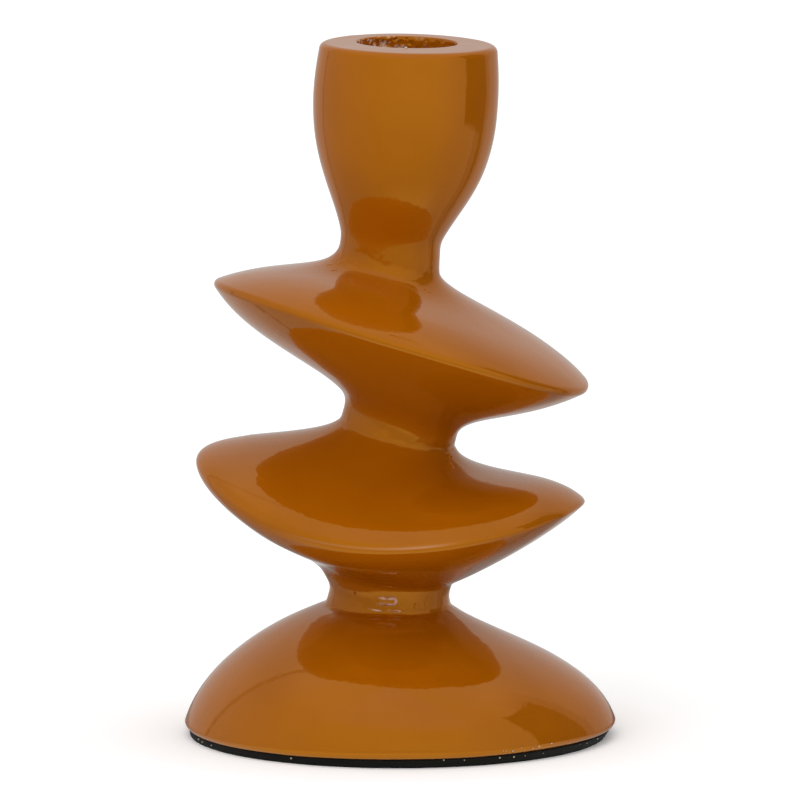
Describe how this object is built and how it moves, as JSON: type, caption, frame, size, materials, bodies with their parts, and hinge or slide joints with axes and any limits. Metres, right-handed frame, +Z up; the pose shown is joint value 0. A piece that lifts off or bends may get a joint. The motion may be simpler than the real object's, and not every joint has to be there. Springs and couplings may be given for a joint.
{
  "type": "candle holder",
  "caption": "Enamelled cast candle holder: a domed foot, leaning lens-shaped discs on narrow necks and a flared cup bored for a dinner candle.",
  "frame": {"origin": "centre of the foot, on the surface that the pad stands on", "axes": "+Z up along the candle's bore, +X to the side that the discs lean down to, -Y towards the front of the picture"},
  "size_m": [0.0976, 0.0976, 0.158],
  "materials": {
    "enamelled_casting": "gloss",
    "zinc_plated_steel": "satin",
    "hardboard": "matte",
    "black_felt": "matte"
  },
  "bodies": {
    "root": {"base": "enamelled_casting", "lower_disc": "enamelled_casting", "upper_disc": "enamelled_casting", "candle_cup": "enamelled_casting", "tie_rod": "zinc_plated_steel", "flat_washer": "zinc_plated_steel", "spring_washer": "zinc_plated_steel", "rod_nut": "zinc_plated_steel", "base_board": "hardboard", "foot_pad": "black_felt"}
  },
  "joints": []
}
